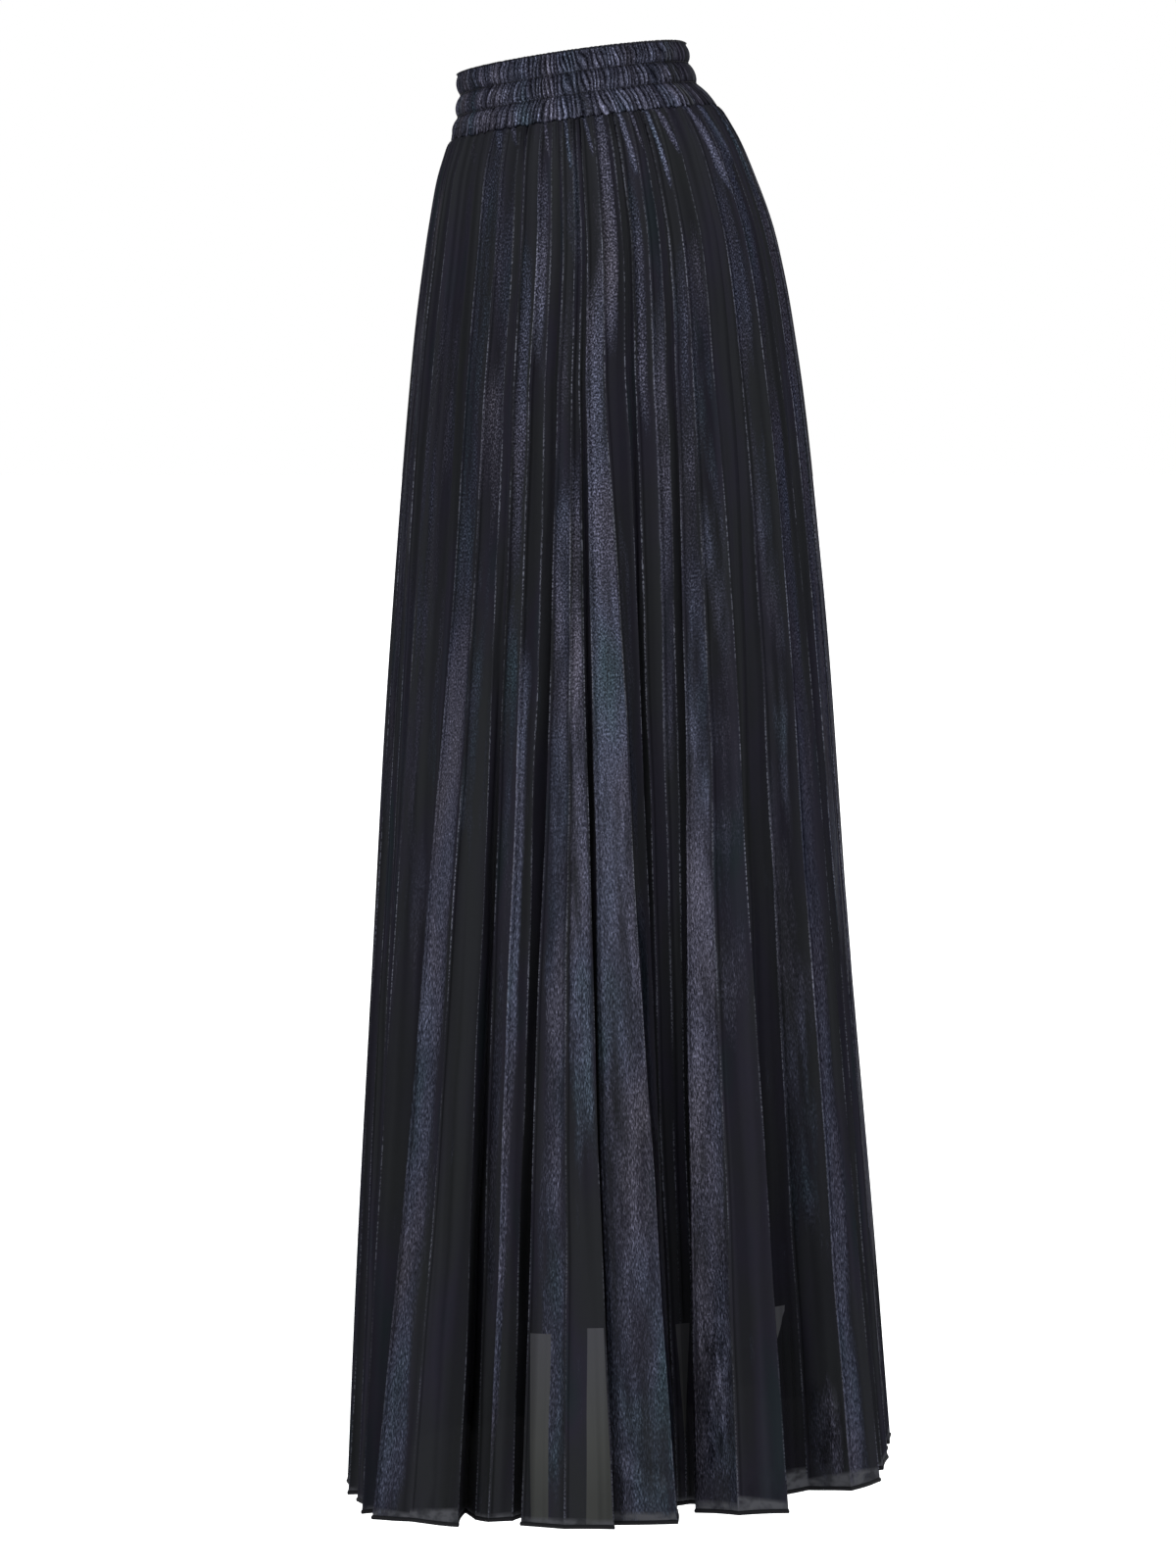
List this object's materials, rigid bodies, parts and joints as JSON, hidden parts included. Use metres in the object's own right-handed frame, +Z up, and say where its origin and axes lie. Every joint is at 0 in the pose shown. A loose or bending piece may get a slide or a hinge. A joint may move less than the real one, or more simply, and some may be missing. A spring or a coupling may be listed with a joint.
{
  "type": "pleated maxi skirt",
  "caption": "Full-length sunray-pleated skirt with a shirred elastic waistband and a shorter plain lining, filled out as worn.",
  "frame": {"origin": "the middle of the waist opening, at the height where the elastic band holds the wearer's waist", "axes": "+Z up along the wearer's body, -Y to the wearer's front, +X to the wearer's left"},
  "size_m": [0.4528, 0.399, 1.0494],
  "materials": {
    "band_cloth": "dark navy metallic sheer cloth, gathered over an elastic",
    "skirt_cloth": "dark navy sheer cloth with a fine metallic crinkle, heat-set in pleats",
    "lining_cloth": "matt black woven lining"
  },
  "bodies": {
    "root": {"waistband_front": "band_cloth", "waistband_back": "band_cloth", "skirt_front": "skirt_cloth", "skirt_back": "skirt_cloth", "lining_front": "lining_cloth", "lining_back": "lining_cloth"}
  },
  "joints": []
}
